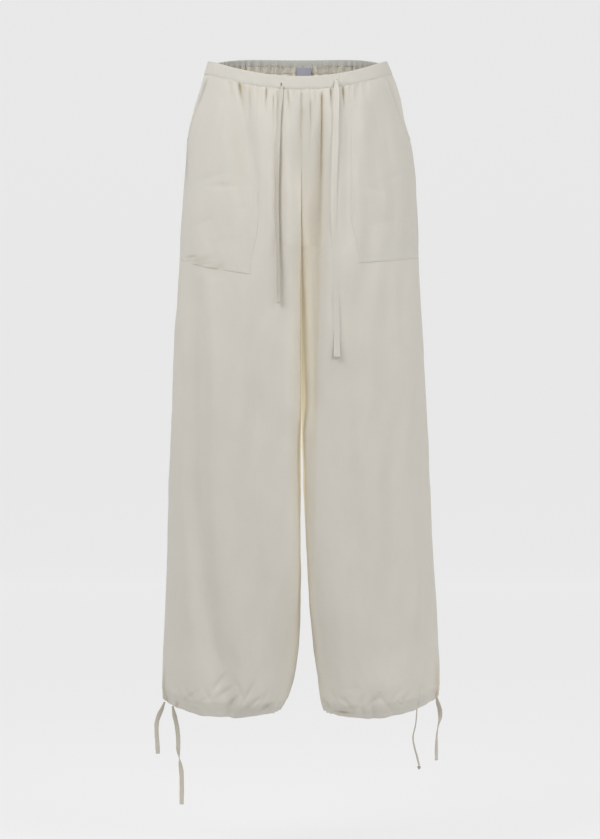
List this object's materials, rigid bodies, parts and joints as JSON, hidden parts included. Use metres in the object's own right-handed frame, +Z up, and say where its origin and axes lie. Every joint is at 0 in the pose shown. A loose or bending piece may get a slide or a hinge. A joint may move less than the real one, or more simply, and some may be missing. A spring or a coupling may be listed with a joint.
{
  "type": "wide-leg pants",
  "caption": "Cream pull-on wide-leg pants, filled out and hollow, with a gathered drawstring waist, patch hip pockets and tied hems.",
  "frame": {"origin": "middle of the waist opening, level with the tops of the side seams, where a wearer's waist holds the pants up", "axes": "+Z up along the legs' length, -Y to the front, +X to the wearer's left"},
  "size_m": [0.4589, 0.2653, 1.195],
  "materials": {
    "cloth": "soft plain weave, light and slightly slubbed",
    "band": "doubled plain weave, stitched",
    "pocket": "soft plain weave",
    "tie": "folded and stitched plain weave",
    "thread": "satin-stitched thread",
    "label": "smooth woven ribbon, bare"
  },
  "bodies": {
    "root": {"front_right": "cloth", "front_left": "cloth", "back_right": "cloth", "back_left": "cloth", "waistband_front": "band", "waistband_back": "band", "pocket_right": "pocket", "pocket_left": "pocket", "buttonhole_right": "thread", "buttonhole_left": "thread", "drawstring_right": "tie", "drawstring_left": "tie", "hem_tie_right_outer": "tie", "hem_tie_right_inner": "tie", "hem_tie_left_outer": "tie", "hem_tie_left_inner": "tie", "tie_knot": "tie", "label": "label"}
  },
  "joints": []
}
